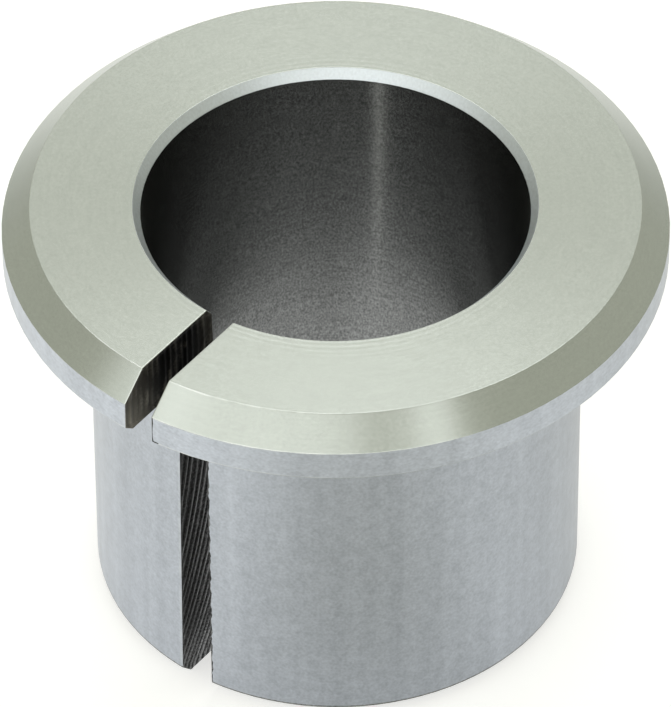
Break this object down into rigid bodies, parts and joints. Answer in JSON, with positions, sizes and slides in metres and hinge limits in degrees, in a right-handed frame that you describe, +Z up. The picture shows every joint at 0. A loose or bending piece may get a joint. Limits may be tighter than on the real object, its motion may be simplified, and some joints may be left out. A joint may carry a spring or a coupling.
{
  "type": "tapered knuckle bushing",
  "caption": "Split flanged bushing: a straight steel barrel under a bevelled flange, with a tapered bore and a saw slit, that seats a tapered stud in a drilled steering knuckle.",
  "frame": {"origin": "centre of the barrel's axis at the foot, on the plane that the bushing stands on", "axes": "+Z up along the axis towards the flange, and the slit opens towards -Y"},
  "size_m": [0.034, 0.034, 0.0246],
  "materials": {
    "turned_steel": "bare turned steel with fine tool marks, and a dark sawn slit"
  },
  "bodies": {
    "root": {"split_bushing": "turned_steel"}
  },
  "joints": []
}
